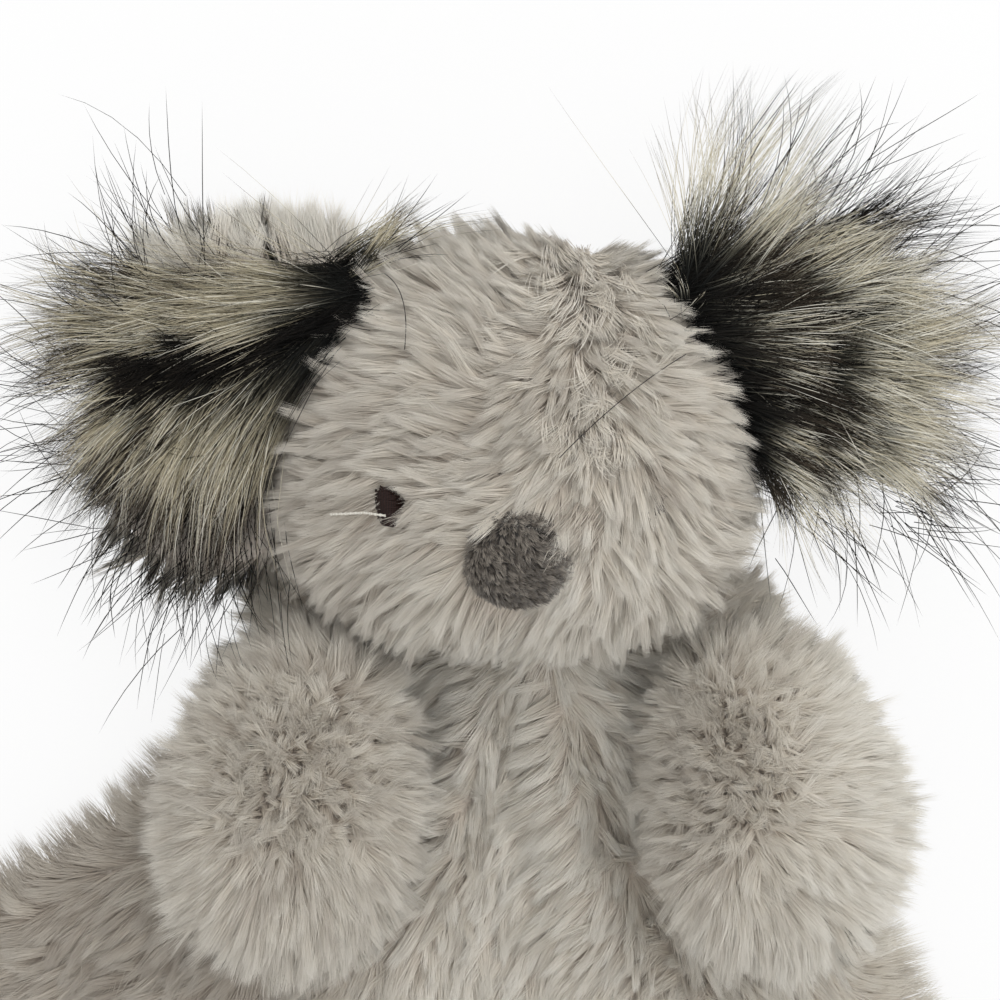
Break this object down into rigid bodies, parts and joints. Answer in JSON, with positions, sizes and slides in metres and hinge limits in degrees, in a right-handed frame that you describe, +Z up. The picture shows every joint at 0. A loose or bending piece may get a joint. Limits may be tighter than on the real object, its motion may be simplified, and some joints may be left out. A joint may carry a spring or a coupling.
{
  "type": "koala comfort blanket",
  "caption": "Plush koala comforter lying on its back: stuffed head with furry folding ears, stubby swinging arms and a two-layer blanket gathered at the neck.",
  "frame": {"origin": "on the flat underside of the blanket, below the neck", "axes": "+X across the toy, to the right in the picture; +Y from the hem to the crown; +Z up from the table, out of the face"},
  "size_m": [0.322, 0.4052, 0.0873],
  "materials": {
    "plush": "taupe grey plush with a soft pile about 11 mm long",
    "ear_fur": "long-pile faux fur, charcoal at the roots, cream in the middle and black at the tips",
    "velour": "short-pile brown grey velour",
    "eye_thread": "dark brown satin-stitch embroidery",
    "filling": "loose white polyester filling",
    "gather_thread": "twisted sewing thread"
  },
  "bodies": {
    "blanket": {"blanket_front_panel": "plush", "blanket_back_panel": "plush", "neck_gather_thread": "gather_thread"},
    "head": {"head_face_left": "plush", "head_face_right": "plush", "head_back_left": "plush", "head_back_right": "plush", "head_filling": "filling", "nose_cover": "velour", "nose_filling": "filling", "eye_left": "eye_thread", "eye_right": "eye_thread"},
    "ear_left": {"ear_left_fur_panel": "ear_fur", "ear_left_back_panel": "plush"},
    "ear_right": {"ear_right_fur_panel": "ear_fur", "ear_right_back_panel": "plush"},
    "arm_left": {"arm_left_top_panel": "plush", "arm_left_under_panel": "plush", "arm_left_filling": "filling"},
    "arm_right": {"arm_right_top_panel": "plush", "arm_right_under_panel": "plush", "arm_right_filling": "filling"}
  },
  "joints": [
    {"name": "head_nod", "type": "hinge", "parent": "blanket", "child": "head", "pos_m": [0, -0.001, 0.042], "axis": [1, 0, 0], "range_deg": [0, 30]},
    {"name": "ear_left_fold", "type": "hinge", "parent": "head", "child": "ear_left", "pos_m": [-0.05659, 0.05495, 0.04], "axis": [0.1219, 0.9925, 0], "range_deg": [0, 40]},
    {"name": "ear_right_fold", "type": "hinge", "parent": "head", "child": "ear_right", "pos_m": [0.05551, 0.06392, 0.04], "axis": [0.2756, -0.9613, 0], "range_deg": [0, 40]},
    {"name": "arm_left_swing", "type": "hinge", "parent": "blanket", "child": "arm_left", "pos_m": [-0.04349, -0.00008, 0.03954], "axis": [-0.5, 0, -0.866], "range_deg": [0, 45]},
    {"name": "arm_right_swing", "type": "hinge", "parent": "blanket", "child": "arm_right", "pos_m": [0.05188, -0.00044, 0.03954], "axis": [-0.5, 0, 0.866], "range_deg": [0, 45]}
  ]
}
